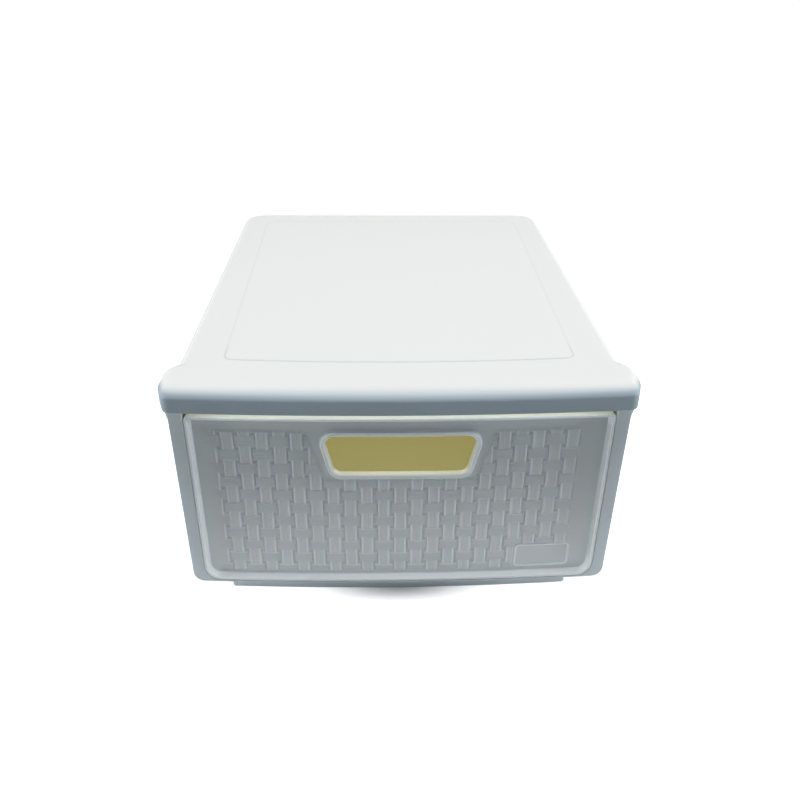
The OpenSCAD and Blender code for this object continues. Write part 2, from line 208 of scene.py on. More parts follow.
def joined(*runs):
    """Puts runs of (a, b) one after the other, as two arrays."""
    a = np.concatenate([np.atleast_1d(run[0]) for run in runs])
    b = np.concatenate([np.atleast_1d(run[1]) for run in runs])
    return a.astype(float), b.astype(float)


print("points of a fillet:", np.round(fillet(0, 0, 2, 2, 2), 2).tolist())

# %% [markdown]
# ## From a grid of points to a mesh
#
# A skin is a grid of points, rows by columns. Rows or columns that close on
# themselves wrap round, and an open end is closed with one face or with a fan
# to its middle. The signed volume tells whether the faces look outwards, and
# the whole mesh is turned if they don't.


# %% Grid to mesh
def mesh_object(name, points, faces, sharp=38):
    """Makes an object from points in mm and a list of face arrays, merges
    doubles, turns the faces outwards, and shades it smooth below the angle."""
    mesh = bpy.data.meshes.new(name)
    corners = np.concatenate([f.ravel() for f in faces])
    sizes = np.concatenate([np.full(len(f), f.shape[1]) for f in faces])
    mesh.vertices.add(len(points))
    mesh.vertices.foreach_set("co", (points * MM).astype(np.float32).ravel())
    mesh.loops.add(len(corners))
    mesh.loops.foreach_set("vertex_index", corners.astype(np.int32))
    mesh.polygons.add(len(sizes))
    starts = np.concatenate([[0], np.cumsum(sizes)[:-1]])
    mesh.polygons.foreach_set("loop_start", starts.astype(np.int32))
    mesh.update(calc_edges=True)
    work = bmesh.new()
    work.from_mesh(mesh)
    bmesh.ops.remove_doubles(work, verts=work.verts, dist=1e-6)
    bmesh.ops.dissolve_degenerate(work, edges=work.edges, dist=1e-7)
    if work.calc_volume(signed=True) < 0:
        bmesh.ops.reverse_faces(work, faces=work.faces)
    work.to_mesh(mesh)
    work.free()
    mesh.polygons.foreach_set("use_smooth", np.ones(len(mesh.polygons), bool))
    mesh.set_sharp_from_angle(angle=np.radians(sharp))
    piece = bpy.data.objects.new(name, mesh)
    bpy.context.scene.collection.objects.link(piece)
    return piece


def numbered(grid, wrap_rows=False, wrap_columns=False, start=0):
    """The numbers of a grid's points, and the quads between them."""
    index = start + np.arange(grid.shape[0] * grid.shape[1]).reshape(grid.shape[:2])
    if wrap_rows:
        index = np.vstack([index, index[:1]])
    if wrap_columns:
        index = np.hstack([index, index[:, :1]])
    quads = np.stack([index[:-1, :-1], index[:-1, 1:], index[1:, 1:], index[1:, :-1]], axis=-1)
    return index, quads.reshape(-1, 4)


def skin(grid, wrap_rows=False, wrap_columns=True, ends=None):
    """Points and faces of a grid of shape (rows, columns, 3). ends is None,
    "fan" to close the first and last rows to their middles, or "face" to close
    the first and last columns with one face each."""
    index, quads = numbered(grid, wrap_rows, wrap_columns)
    points = grid.reshape(-1, 3)
    faces = [quads]
    if ends == "fan":
        hub = len(points)
        points = np.vstack([points, grid[0].mean(axis=0), grid[-1].mean(axis=0)])
        hubs = np.full(grid.shape[1], hub)
        faces.append(np.stack([index[0, 1:], index[0, :-1], hubs], axis=-1))
        faces.append(np.stack([index[-1, :-1], index[-1, 1:], hubs + 1], axis=-1))
    if ends == "face":
        own = index[:len(grid)]
        faces += [own[:, 0][None], own[::-1, -1][None]]
    return points, faces


def made_of(name, *skins):
    """One object out of several skins."""
    points, faces, count = [], [], 0
    for skin_points, skin_faces in skins:
        points.append(skin_points)
        faces += [f + count for f in skin_faces]
        count += len(skin_points)
    piece = mesh_object(name, np.concatenate(points), faces)
    print(name + ":", len(piece.data.polygons), "faces")
    return piece


def at_height(flat, z):
    """Points in X and Y, lifted to a height or to one height each."""
    return np.column_stack([flat, np.broadcast_to(z, len(flat))])


def block(lo, hi, edge=0.3):
    """A box with chamfered edges: rings of an outline with cut corners."""
    shape = outline(
        [(lo[0], lo[1]), (hi[0], lo[1]), (hi[0], hi[1]), (lo[0], hi[1])],
        [edge] * 4, spacing=1000, arc=3,
    )
    section = joined(
        fillet(edge, lo[2], 0, lo[2] + edge, 3, hollow=True),
        fillet(0, hi[2] - edge, edge, hi[2], 3),
    )
    return skin(np.stack([at_height(shape(inset), z) for inset, z in zip(*section)]), ends="fan")


def both_sides(x, half, y0, y1, z0, z1, edge=0.3):
    """The same block twice, x to the left and x to the right of the middle."""
    return [
        block((side * x - half, y0, z0), (side * x + half, y1, z1), edge) for side in (-1, 1)
    ]


# %% [markdown]
# ## The cover
#
# The real cover is one shell: a plate, a skirt that becomes the lip in front,
# and an ear at each end of the lip. One outline runs round all of it. It is
# drawn straight in front and then bent, because a bow that fades out over the
# depth of the lip keeps the ears where they are.

# %% Outline and section of the cover
ear_reach = 37.0       # from the middle of the lip back to the end of an ear
ear_swell = 13.0       # from the lip's front to the ears' full width
lip_half = 122.2       # half the lip's face
edge_r = 5.5           # rounding of the upper edge, as high as it is deep
lip_round, lip_high = 14.5, 5.2   # the same along the lip: depth and height
lip_zone, lip_fade = 22.0, 15.0   # where the lip's rounding ends, and its fading
skirt_t = 2.0
inner_r = 2.9
cover_steps = [84, 8, 4, 3, 90, 72, 90, 3, 4, 8]   # points along each edge


def ten_corners(front, back, right_side, radii):
    """An outline through ten corners: the front two, three down the right side,
    the back two, and the same three up the left side."""
    left_side = [(-x, y) for x, y in right_side[::-1]]
    corners = [(-front[0], front[1]), front, *right_side, back, (-back[0], back[1]), *left_side]
    mirrored = radii[:1] * 2 + radii[1:] + radii[:0:-1]
    return outline(corners, mirrored, arc=10, steps=cover_steps)


cover_outline = ten_corners(
    (lip_half, lip_y), (box_half, back_y),
    [
        (ear_half, lip_y + ear_swell), (ear_half, lip_y + ear_reach - 1.2),
        (box_half, lip_y + ear_reach - 0.33),
    ],
    [5, 12, 11, 0.9, corner_r],
)

skirt_in, skirt_in_z = joined(
    fillet(skirt_t + inner_r, under_z, skirt_t, under_z - inner_r, hollow=True),
    (skirt_t, skirt_z + 0.4),
)
skirt_foot, skirt_foot_z = joined(
    fillet(skirt_t, skirt_z + 0.4, skirt_t - 0.4, skirt_z, 4),
    fillet(0.5, skirt_z, 0, skirt_z + 0.5, 4, hollow=True),
)
skirt_out = joined((0, cover_z - edge_r - 2), fillet(0, cover_z - edge_r, edge_r, cover_z, 14))
cover_insets, cover_rows_z = joined(
    (skirt_in, skirt_in_z), (skirt_foot[1:], skirt_foot_z[1:]), skirt_out
)
print("cover: rings of", len(cover_outline(0)), "points")

# %% [markdown]
# The raised panel is what the ring of the next box drops over. Its step is
# crisp at the front and soft along the sides, where the border rises a little
# to meet it. The step is a ribbon along the panel's outline, and its width
# and height are functions of the place.

# %% Outlines of the border and the raised panel
panel_front_y = lip_y + 35.4
panel_back_y = back_y - 23.5
lip_bow = (lip_y, ear_reach, lip_bow_r)          # each bow's front, the depth over
panel_bow = (panel_front_y, 60.0, panel_bow_r)   # which it fades out, and its radius
border_lift, beside_x = 0.32, 97.0   # how far the border rises, and how far out
crisp, soft = 0.9, 1.5               # half widths of the step: in front, at the sides

border_outline = ten_corners(
    (114.5, lip_y + 16.5), (111.5, back_y - 8.5),
    [(112.5, lip_y + 27), (112, lip_y + 31.5), (111.5, lip_y + 35)],
    [6, 0, 0, 0, 10],
)
panel_outline = ten_corners(
    (95.5, panel_front_y), (100, panel_back_y),
    [(95.6, panel_front_y + 6), (95.65, panel_front_y + 9), (95.7, panel_front_y + 12)],
    [5, 0, 0, 0, 9],
)


def border_height(points):
    """Height of the border: lowest in the middle of the front, and a little
    higher beside and behind the panel."""
    beside = np.clip(np.abs(points[:, 0]) / beside_x, 0, 1) ** 2.5
    behind = smooth((points[:, 1] - panel_front_y) / (panel_back_y - panel_front_y))
    return cover_z + border_lift * (1 - (1 - beside) * (1 - behind))


def softness(y):
    """How soft the panel's step is: 0 along its front and 1 along its sides."""
    return smooth((y - panel_front_y - 4) / 26)


print("panel, mm long:", panel_back_y - panel_front_y)

# %% The cover's rings, from the inside of the skirt to the middle of the top
skirt_rows = len(skirt_foot) + len(skirt_in) - 1
cover_rings = []
for number, (inset, z) in enumerate(zip(cover_insets, cover_rows_z)):
    over_skirt = number > skirt_rows
    flat = cover_outline(inset)
    at_lip = smooth((lip_y + lip_zone - flat[:, 1]) / lip_fade) * over_skirt
    flat[:, 1] += at_lip * inset * (lip_round / edge_r - 1)
    ring = bend(flat, *lip_bow)
    rise = np.clip((z - (cover_z - edge_r)) / edge_r, 0, 1) * over_skirt
    below = cover_z - z
    z = z + at_lip * (below - below * lip_high / edge_r) * (below <= edge_r)
    cover_rings.append(at_height(ring, z + rise * (border_height(ring) - cover_z)))

border = bend(border_outline(0), *lip_bow)
step_line, step_in, step_out = (bend(panel_outline(inset), *panel_bow) for inset in (0, 1, -1))
inward = (step_in - step_out) / 2
half_width = crisp + (soft - crisp) * softness(step_line[:, 1])
step_foot = step_line - half_width[:, None] * inward
for flat in (border, border + 0.5 * (step_foot - border)):
    cover_rings.append(at_height(flat, border_height(flat)))
for t in np.linspace(-1, 1, 9):
    flat = step_line + (t * half_width)[:, None] * inward
    ground = border_height(flat)
    cover_rings.append(at_height(flat, ground + (panel_z - ground) * smooth((t + 1) / 2)))
panel_middle = np.array([0.0, (panel_front_y + panel_back_y) / 2])
for f in (0.25, 0.6):
    cover_rings.append(at_height(step_line + f * (panel_middle - step_line), panel_z))

cover_shell = made_of("cover_shell", skin(np.stack(cover_rings), ends="fan"))

# %% [markdown]
# Under the plate a rib drops inside the tub's upper edge, and short seats
# rest on that edge. They are hidden when the drawer is shut, but they show
# through the open front.

# %% Rib and seats under the cover
rib_in = tub_wall + 0.3   # the rib's face, in from the tub's outside
rib_front = lip_y + ear_reach
seat_x, seat_half = 116.3, 1.4


def round_back(half, back, r, front, steps=None):
    """An open path up the right side, round the back, and down the left."""
    return outline(
        [(half, front), (half, back), (-half, back), (-half, front)],
        [0, r, r, 0], closed=False, steps=steps,
    )


rib_path = round_back(tub_half(skirt_z) - rib_in, tub_back - rib_in, 9.4, rib_front)
rib_section = [
    (0.0, under_z + 0.5), (0.0, skirt_z + 0.4), (0.4, skirt_z),
    (1.2, skirt_z), (1.6, skirt_z + 0.4), (1.6, under_z + 0.5),
]
rib_grid = np.stack([at_height(rib_path(inset), z) for inset, z in rib_section])
seats = []
for y in np.linspace(rib_front, tub_back - corner_r, 4):
    seats += both_sides(seat_x, seat_half, y - 5, y + 5, tub_top, under_z + 0.4)
cover_ribs = made_of(
    "cover_ribs", skin(rib_grid, wrap_rows=True, wrap_columns=False, ends="face"), *seats
)

# %% [markdown]
# ## The tub and the tray
#
# Tub and tray are the same kind of moulding: a floor with three walls, open
# in front. A path runs along one side, round the back and along the other
# side, and a section is carried along it. The floor is the same section drawn
# on, in towards a line down the middle, so that the whole shell is one skin.

# %% A shell with three walls
shell_bow = (face_y, 60.0, face_bow_r)
tub_foot_r, tray_foot_r = 6.0, 9.0


def three_walls(half, back, back_r, front, outer, inner):
    """A shell as one skin: half(z) is the half width, and outer and inner are
    sections (inset, z) from the foot of the wall to its top. The spine is the
    floor's middle line, and the front edge follows the bow of the face."""
    spine_end = back - half(outer[1][0])

    def sheet(insets, heights):
        walls = []
        for inset, z in zip(insets, heights):
            path = round_back(half(z), back, back_r, front, steps=[36, 36, 36, 1])(inset)
            walls.append(at_height(path, z))
        spine = walls[0].copy()
        spine[:, 0] = 0
        spine[:, 1] = np.minimum(walls[0][:, 1], spine_end)
        return [spine + f * (walls[0] - spine) for f in (0, 0.33, 0.66)] + walls

    grid = np.stack(sheet(*outer) + sheet(*inner)[::-1])
    grid[..., 1] = bent(grid[..., 0], grid[..., 1], *shell_bow)
    return skin(grid, wrap_columns=False, ends="face")


def inside(wall, foot_r, floor, top, steps):
    """The inside of a wall: a fillet up from the floor, and a chamfered top."""
    return joined(
        fillet(foot_r, floor, wall, floor + (foot_r - wall), steps, hollow=True),
        (wall, top - 0.4), (wall - 0.4, top),
    )


tub_outer = joined(
    fillet(tub_foot_r, base_h + 0.05, 0, base_h + tub_foot_r, 8, hollow=True),
    (0, tub_top - 0.4), (0.4, tub_top),
)
tub_inner = inside(tub_wall, tub_foot_r, floor_z, tub_top, 6)
tub_shell = made_of(
    "tub_shell",
    three_walls(tub_half, tub_back, corner_r - tub_in, face_y + 1.0, tub_outer, tub_inner),
)

# %% [markdown]
# The frame round the front is a band between two outlines: the tub's own
# edge outside, and the way for the drawer's rim inside. Its section is an
# angle, a flat face with a flange that runs back along the side.

# %% The frame round the front
frame_depth = 14.0             # from the face back to the end of the flange
frame_face_t, flange_t = 2.0, 1.4
edge_in, edge_deep = 1.1, 1.8  # rounding of the outer edge
edge_small = 0.3               # and of the inner one
rim_foot_r, rim_gap = 9.0, 0.25


def hoop(half, z0, z1, r):
    """An open upright outline: down the left side, along the foot, and up."""
    return outline(
        [(-half(z1), z1), (-half(z0), z0), (half(z0), z0), (half(z1), z1)],
        [0, r, r, 0], arc=12, closed=False, steps=[40, 64, 40, 1],
    )


def on_face(points, depth):
    """Puts an outline in X and Z at a depth behind the bow of the face."""
    x, z = points.T
    return np.column_stack([x, face_y + depth + bow(x, face_bow_r), z])


frame_outer = hoop(frame_half, base_h, tub_top, 6.5)
frame_inner = hoop(lambda z: rim_half(z) + rim_gap, floor_z + 0.02, tub_top, rim_foot_r + rim_gap)
frame_rows = [on_face(frame_outer(0), frame_depth)]
for a, b in zip(*fillet(0, 0, edge_in, edge_deep, 7)):
    frame_rows.append(on_face(frame_outer(a), edge_deep - b))
for a, b in zip(*fillet(edge_small, 0, 0, edge_small, 4, hollow=True)):
    frame_rows.append(on_face(frame_inner(-a), b))
frame_rows += [on_face(frame_inner(0), frame_face_t), on_face(frame_outer(flange_t), frame_face_t)]
frame_rows += [on_face(frame_outer(flange_t), frame_depth)]


def shoulder(side):
    """A wedge on the frame's side under the ear, as four rings from front to
    back: it grows out of the side and ends in a level top."""
    head, tall, wide = skirt_z - 0.3, 7.6, 2.5
    side_x = frame_half(head)
    wedge = [(-0.7, -tall), (0, -tall), (0.2 * wide, -0.7 * tall), (0.75 * wide, -0.3 * tall),
             (wide, -0.6), (wide - 0.3, 0), (-0.6, 0)]
    wedge_rings = []
    for back, grown in [(1.0, 0.6), (1.8, 0.9), (4.0, 1.0), (frame_depth - 1, 1.0)]:
        x = side * (side_x + np.array([w * grown if w > 0 else w for w, _ in wedge]))
        y = np.full(len(wedge), face_y + bow(side_x, face_bow_r) + back)
        wedge_rings.append(np.column_stack([x, y, [head + z for _, z in wedge]]))
    return skin(np.stack(wedge_rings), ends="fan")


front_frame = made_of(
    "front_frame",
    skin(np.stack(frame_rows), wrap_rows=True, wrap_columns=False, ends="face"),
    shoulder(-1), shoulder(1),
)

# %% [markdown]
# The box stands on a low ring under its floor. The ring is as long as the
# raised panel of the next box, so that one box can't slide off another. A
# bowed rib crosses it in front of where that panel ends.

# %% The base ring and the rib in it
ring_y = face_y + 0.5
ring_end = panel_back_y + 1.9
ring_bow = (ring_y, 40.0, lip_bow_r)
ring_outline = outline(
    [(-98.1, ring_y), (98.1, ring_y), (101.9, ring_end), (-101.9, ring_end)], [1.6, 1.6, 3, 3]
)
low_wall = [(0, base_h + 0.5), (0, 0.3), (0.3, 0), (1.1, 0), (1.4, 0.3), (1.4, base_h + 0.5)]

ring_grid = np.stack([at_height(bend(ring_outline(t), *ring_bow), z) for t, z in low_wall])
crossing_x = np.linspace(-97, 97, 49)
crossing_y = panel_front_y - 1.9 + bow(crossing_x, panel_bow_r)
crossing_grid = np.stack([
    at_height(np.column_stack([crossing_x, crossing_y + t]), z) for t, z in low_wall
])
base_ring = made_of(
    "base_ring",
    skin(ring_grid, wrap_rows=True),
    skin(crossing_grid, wrap_rows=True, wrap_columns=False, ends="face"),
)

# %% The drawer's stops on the tub's floor, and the snap beads on its sides
stop_x, stop_half, stop_y = 60, 15, face_y + 17
stops = both_sides(stop_x, stop_half, stop_y, stop_y + 3, floor_z - 0.4, floor_z + 2.6)
bead_z = (skirt_z + tub_top) / 2
bead_front = lip_y + ear_reach
beads = []
for third in range(3):
    y = bead_front + (tub_back - corner_r - bead_front) * (third + 0.5) / 3
    beads += both_sides(tub_half(bead_z), 0.8, y - 9, y + 9, bead_z - 0.9, bead_z + 0.9)
tub_stops = made_of("tub_stops", *stops, *beads)

# %% [markdown]
# ## The drawer
#
# The tray is the same shell as the tub, a little smaller, with a lip that is
# folded outwards round its top. It slides on two long runners, and two heels
# at its back meet the stops before it can fall out.

# %% Tray, runners and heels
runner_x, runner_half, runner_front = 95, 2, face_y + 7.3
heel_front, heel_back = 100.1, 103.1


def tray_half(z):
    """Half the tray's outer width."""
    return rim_half(z) - 1.6


tray_outer = joined(
    fillet(tray_foot_r, tray_z, 0, tray_z + tray_foot_r, 8, hollow=True),
    (0, rim_top - 2.6), (-0.2, rim_top - 2.3), (-tray_lip, rim_top - 2.1),
    (-tray_lip, rim_top - 0.4), (-0.4, rim_top),
)
tray_inner = inside(tray_wall, tray_foot_r, tray_z + tray_wall, rim_top, 8)
tray_shell = made_of(
    "tray_shell", three_walls(tray_half, tray_back, 11.7, face_y + 4.8, tray_outer, tray_inner)
)
runners = both_sides(runner_x, runner_half, runner_front, tray_back - 9, rim_z, tray_z + 0.3, 0.5)
heels = both_sides(stop_x, stop_half, heel_front, heel_back, floor_z + 0.7, tray_z + 0.3)
tray_runners = made_of("tray_runners", *runners, *heels)
print("the drawer stops after, mm:", round(heel_front - stop_y - 3, 1))

# %% [markdown]
# The rim is a ring that stands 3.8 mm in front of the woven panel. Its crest
# is narrow and rounded, and its inner wall leans so that the part leaves the
# mould. Rim, hand-hole collar and label bead are all the same thing: a closed
# section of inset and depth, carried round an outline, and bent with the face.

# %% Rim, collar and label bead
recess = 3.8                # from the rim's crest back to the panel
front_rear = recess + 2.0   # the panel's back
hole_head = rim_top - 12.2
hole_foot = hole_head - 24
collar_face = recess - 2.5
label_x, label_w, label_z, label_h = 83.0, 33.0, rim_z + 6.0, 16.5


def face_ring(name, shape, section):
    """Carries a closed section of (inset, depth) round an outline on the face."""
    grid = np.stack([on_face(shape(a), d) for a, d in zip(*section)])
    return made_of(name, skin(grid, wrap_rows=True))


rim_section = joined(
    (1.4, front_rear), (1.4, 4.0), (1.0, 3.6), (-0.1, 3.5), (-0.15, 1.0),
    fillet(-0.15, 0.9, 0.75, 0, 6),
    fillet(0.95, 0, 2.0, 1.0, 6, hollow=True),
    (2.5, recess - 0.9),
    fillet(2.55, recess - 0.7, 3.3, recess - 0.02, 5),
    (3.5, recess + 0.4), (3.1, front_rear),
)
rim_outline = upright(rim_half(rim_z), rim_half(rim_top), rim_z, rim_top, rim_foot_r, 3)
rim_ring = face_ring("rim_ring", rim_outline, rim_section)

collar_section = joined(
    (0, front_rear - 0.4), (0, collar_face + 1.7),
    fillet(0, collar_face + 1.6, -1.8, collar_face, 7),
    fillet(-2.0, collar_face, -2.8, collar_face + 0.9, 6, hollow=True),
    (-2.95, recess - 0.5), (-3.3, recess - 0.02), (-3.3, recess + 0.4),
    (-2.4, front_rear), (-0.4, front_rear),
)
hole_outline = upright(36, 42, hole_foot, hole_head, 5, 5)
collar_ring = face_ring("collar_ring", hole_outline, collar_section)

label_section = joined(
    (0, recess + 0.4), (0, recess - 0.2),
    fillet(0, recess - 0.2, 0.3, recess - 0.5, 3),
    fillet(1.0, recess - 0.5, 1.5, recess - 0.2, 3, hollow=True),
    (1.5, recess + 0.4),
)
label_left, label_right = label_x - label_w / 2, label_x + label_w / 2
label_outline = outline(
    [(label_left, label_z), (label_right, label_z),
     (label_right, label_z + label_h), (label_left, label_z + label_h)],
    [3] * 4, spacing=3.0,
)
label_bead = face_ring("label_bead", label_outline, label_section)

# %% [markdown]
# ## The weave
#
# The panel carries a moulded basket weave: upright straps and level straps
# that pass over each other by turns. Seen from the front it is a chequer of
# two kinds of cushion, so the height at any place is the higher of the two
# cushions there. A cushion is a half wave along its strap and flat across it,
# and it drops to the ground at its edges. The upright straps also have a fine
# bead along each edge.

# %% Height of the weave
pitch_x, pitch_z = 9.3, 8.72
first_row_z = 12.1
upright_half, level_half = 3.2, 3.3
groove = 0.8
upright_reach = 5.4                                # half a cushion's length
level_reach = pitch_x - upright_half - groove
swell_low, swell_high = 0.35, 0.8
edge_drop = 0.5                                    # width of a cushion's edge
bead_high, bead_in, bead_wide = 0.22, 0.6, 0.4


def cushion(along, pitch, across, half_across, reach):
    """A cushion: a raised half wave along the strap, flat across it, with its
    rim rounded off where it reaches half_across and reach."""
    wave = 0.5 + 0.5 * np.cos(np.pi * along / pitch)
    raised = swell_low + (swell_high - swell_low) * wave
    side = smooth((half_across + edge_drop / 2 - np.abs(across)) / edge_drop)
    end = smooth((reach + edge_drop / 2 - np.abs(along)) / edge_drop)
    return raised * side * end


def nearest(value, pitch, parity):
    """Distance to the nearest multiple of the pitch whose number has the parity."""
    number = 2 * np.round((value / pitch - parity) / 2) + parity
    return value - number * pitch


def weave(x, z):
    """Height of the weave, and which strap is on top: 1 upright, -1 level, 0
    in the grooves between them."""
    v = z - first_row_z
    column, row = np.round(x / pitch_x), np.round(v / pitch_z)
    across_x, across_z = x - column * pitch_x, v - row * pitch_z
    along_z = nearest(v, pitch_z, np.mod(column, 2))
    along_x = nearest(x, pitch_x, np.mod(row + 1, 2))
    upright_one = cushion(along_z, pitch_z, across_x, upright_half, upright_reach)
    level_one = cushion(along_x, pitch_x, across_z, level_half, level_reach)
    bead = bead_high * hump(np.abs(across_x) - upright_half + bead_in, bead_wide)
    upright_one = upright_one + bead * (upright_one > 0.1)
    height = np.maximum(upright_one, level_one)
    return height, np.where(upright_one >= level_one, 1.0, -1.0) * (height > 0.05)


print("one square of the weave, mm:", pitch_x, "by", pitch_z)

# %% Where the weave is
weave_left, weave_right = -106.0, 98.0
weave_foot, weave_head = 10.6, 107.0
band_foot = 75.0                               # the plain band round the hand hole
band_half = leaning(40.5, 50.5, band_foot, 105.0)


def field(x, z):
    """1 where the weave is, 0 where the panel is plain: a strip along the top,
    the right end, the label field, and a wide band round the hand hole. The
    weave fades out over the distance that each edge is divided by."""
    ends = smooth((x - weave_left) / 8) * smooth((weave_right - x) / 1.5)
    ends = ends * smooth((weave_head - z) / 2.5) * smooth((z - weave_foot) / 0.8)
    beside = smooth((np.abs(x) - band_half(z) + 0.5) / 2.0)
    beneath = smooth((band_foot + 0.5 - z) / 1.5)
    off_label = smooth((np.abs(x - label_x) - label_w / 2) / 0.8)
    off_label = np.maximum(off_label, smooth((z - label_z - label_h) / 0.8))
    off_label = np.maximum(off_label, smooth((label_z - z) / 0.8))
    return ends * np.maximum(beside, beneath) * off_label


print("plain band, mm wide at the hole's head:", round(2 * band_half(hole_head), 1))

# %% [markdown]
# The panel itself is a grid of points over the rim's opening. Each row is as
# wide as the opening at its height, so the round corners come by themselves.
# The front is fine enough to carry the weave, the back has few columns, and
# a Boolean cuts the hand hole along the middle of its collar.

# %% The woven panel
panel_inset = 1.6
columns_n, rows_n, rear_step = 371, 173, 37
low_z, high_z = rim_z + panel_inset, rim_top - panel_inset


def opening_half(z):
    """Half width of the panel at a height, with the round foot corners."""
    r = rim_foot_r - panel_inset
    dip = np.clip(low_z + r - z, 0, r)
    return rim_half(z) - panel_inset - r + np.sqrt(r**2 - dip**2)


row_z = np.linspace(low_z, high_z, rows_n)[:, None]
grid_x = np.linspace(-1, 1, columns_n) * opening_half(row_z)
grid_z = np.repeat(row_z, columns_n, axis=1)
relief = weave(grid_x, grid_z)[0] * field(grid_x, grid_z)
print("weave, mm high at most:", round(float(relief.max()), 2))
face = np.stack([grid_x, face_y + bow(grid_x, face_bow_r) + recess - relief, grid_z], axis=-1)
rear_x = grid_x[:, ::-rear_step]
rear_y = face_y + bow(rear_x, face_bow_r) + front_rear
rear = np.stack([rear_x, rear_y, grid_z[:, :rear_x.shape[1]]], axis=-1)

near_i, near_quads = numbered(face)
rear_i, rear_quads = numbered(rear, start=near_i.size)
left_quads = np.stack([rear_i[:-1, -1], near_i[:-1, 0], near_i[1:, 0], rear_i[1:, -1]], axis=-1)
right_quads = np.stack([near_i[:-1, -1], rear_i[:-1, 0], rear_i[1:, 0], near_i[1:, -1]], axis=-1)
panel_faces = [
    near_quads, rear_quads, left_quads, right_quads,
    np.concatenate([rear_i[0], near_i[0]])[None, ::-1],
    np.concatenate([rear_i[-1], near_i[-1]])[None],
]
panel_points = np.concatenate([face.reshape(-1, 3), rear.reshape(-1, 3)])
woven_front = mesh_object("woven_front", panel_points, panel_faces, sharp=60)
print("woven front, not cut yet:", len(panel_points), "points")

# %% The hand hole
x, z = hole_outline(-1.4).T
cutter_grid = np.stack([
    np.column_stack([x, np.full(len(x), y), z]) for y in (face_y - 8, face_y + 20)
])
cutter = made_of("hole_cutter", skin(cutter_grid, ends="fan"))
cut = woven_front.modifiers.new("hand hole", "BOOLEAN")
cut.operation = "DIFFERENCE"
cut.solver = "EXACT"
cut.object = cutter
depsgraph = bpy.context.evaluated_depsgraph_get()
holed = bpy.data.meshes.new_from_object(woven_front.evaluated_get(depsgraph))
woven_front.modifiers.clear()
woven_front.data = holed
bpy.data.objects.remove(cutter)
print("woven front:", len(holed.polygons), "faces")

# %% [markdown]
# ## Painted light and shade on the walls
#
# The plastic lets a little light through, but here the colour stands in for light and shade. One number
# for each point says how light the plastic is painted there: greyer as painted shade in grooves, beside
# the rim and towards the top of the panel, and whiter as painted highlights along crests and edges. The
# finish reads it. On the woven panel a second number names the strap on top.


# %% Numbers stored on the points
def give(piece, name, values):
    """Stores one number for each point of a piece, for its finish to read."""
    store = piece.data.attributes.new(name, "FLOAT", "POINT")
    store.data.foreach_set("value", np.broadcast_to(values, len(piece.data.vertices)).astype(np.float32))


def points_of(piece):
    """The points of a piece, in mm, as three arrays."""
    spots = np.empty(len(piece.data.vertices) * 3, np.float32)
    piece.data.vertices.foreach_get("co", spots)
    return (spots.reshape(-1, 3) / MM).T


def depth_of(x, y):
    """How far points lie behind the bow of the drawer's face."""
    return y - face_y - bow(x, face_bow_r)


print("rim:", points_of(rim_ring).shape[1], "points")

# %% The woven front
x, y, z = points_of(woven_front)
strap = weave(x, z)[1]
woven = field(x, z)
give(woven_front, "strap", strap * woven * (depth_of(x, y) < recess + 0.5))

across_x = np.abs(x - np.round(x / pitch_x) * pitch_x)
across_z = z - first_row_z - np.round((z - first_row_z) / pitch_z) * pitch_z
# Painted highlights: whiter lines along the sides of the upright straps and the top edges of the level
# straps. Painted shade: the grooves darkest, and the level straps darker than the upright ones.
side_painted_highlight = hump(across_x - upright_half + 0.35, 0.5) * (strap > 0)
top_painted_highlight = hump(across_z - level_half + 0.4, 0.45) * (strap < 0)
level_shaded_tone, groove_painted_shade, upright_tone = 0.16, 0.02, 0.30
solid = np.choose(strap.astype(int) + 1, [level_shaded_tone, groove_painted_shade, upright_tone])
solid = solid + 0.42 * side_painted_highlight + 0.42 * top_painted_highlight
# Painted shade: the plain panel is greyer beside the rim. Painted light and shade by height: whiter
# towards the panel's foot and greyer towards its top.
to_rim = np.minimum(rim_half(z) - np.abs(x), z - rim_z)
plain = 0.3 - 0.2 * hump(to_rim - 3, 4)                       # greyer beside the rim
painted_light_by_height = 0.22 - 0.3 * (z - rim_z) / (rim_top - rim_z)        # whiter near the foot
give(woven_front, "tone_and_painted_light", plain + (solid - plain) * woven + painted_light_by_height)
print("woven front, share of points on a strap:", round(float((strap != 0).mean()), 2))

# %% The rim, the collar and the tray: painted light on the rim, painted shade on its inner wall at the right
x, y, z = points_of(rim_ring)
# Painted light: the rim is painted at the whitest tone. Painted shade: its inner wall is painted greyer
# on the right side.
inner_wall = smooth((depth_of(x, y) - 0.4) / 0.6)
upright_part = smooth((z - rim_z - 8) / 8) * smooth((rim_top - 5 - z) / 4)
give(rim_ring, "tone_and_painted_light", 1 - 0.55 * inner_wall * upright_part * (x > 100))

x, y, z = points_of(collar_ring)
# Painted highlight on the collar's crest, painted light on its lower side, and painted shade on the rest
# of it.
crest = smooth((collar_face + 0.9 - depth_of(x, y)) / 0.6)
painted_light_low_side = smooth((hole_foot + 6 - z) / 8)
give(collar_ring, "tone_and_painted_light", np.maximum(painted_light_low_side, 0.15 + 0.85 * crest))

# The label bead is painted near the whitest tone, as painted light; the tray and the runners get plain
# tones.
for piece, number in ((label_bead, 0.9), (tray_shell, 0.6), (tray_runners, 0.4)):
    give(piece, "tone_and_painted_light", number)
print("collar, share of points on its crest:", round(float((crest > 0.5).mean()), 2))

# %% A faint line of painted shade where the cover steps up to the raised panel
x, y, z = points_of(cover_shell)
ground = border_height(np.column_stack([x, y]))
risen = np.clip((z - ground) / (panel_z - ground), 0, 1)
give(cover_shell, "painted_step_shade", 4 * risen * (1 - risen) * (0.5 - 0.37 * softness(y)))
print("points on the panel's step:", int(((risen > 0.01) & (risen < 0.99)).sum()))

